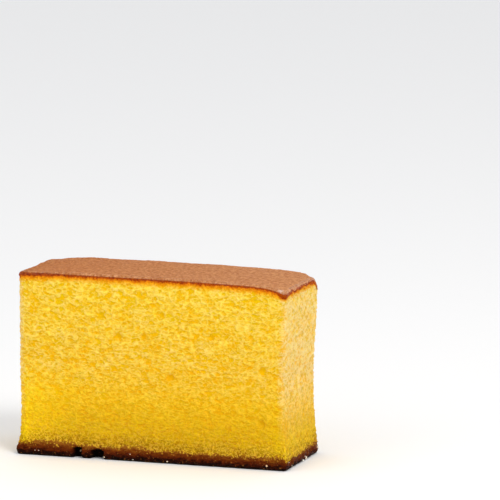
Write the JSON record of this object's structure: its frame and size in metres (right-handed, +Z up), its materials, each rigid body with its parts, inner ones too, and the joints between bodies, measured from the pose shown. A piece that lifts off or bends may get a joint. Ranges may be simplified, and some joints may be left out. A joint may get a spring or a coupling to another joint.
{
  "type": "castella sponge cake slice",
  "caption": "Upright rectangular slice of yellow castella sponge cake, with a thin browned top, fine open crumb on its cut faces and a dark crust underneath.",
  "frame": {"origin": "middle of the flat underside of the slice, on the surface that it stands on", "axes": "+Z up, +X along the slice's length, +Y through its thickness from the front cut face to the back one"},
  "size_m": [0.0909, 0.0346, 0.0594],
  "materials": {
    "sponge_crumb": "soft yellow sponge crumb with fine open air cells on the cut faces, browned to a smooth matte milk chocolate colour in a thin skin on top and to a dark, sticky, sugary crust underneath"
  },
  "bodies": {
    "root": {"castella_slice": "sponge_crumb"}
  },
  "joints": []
}
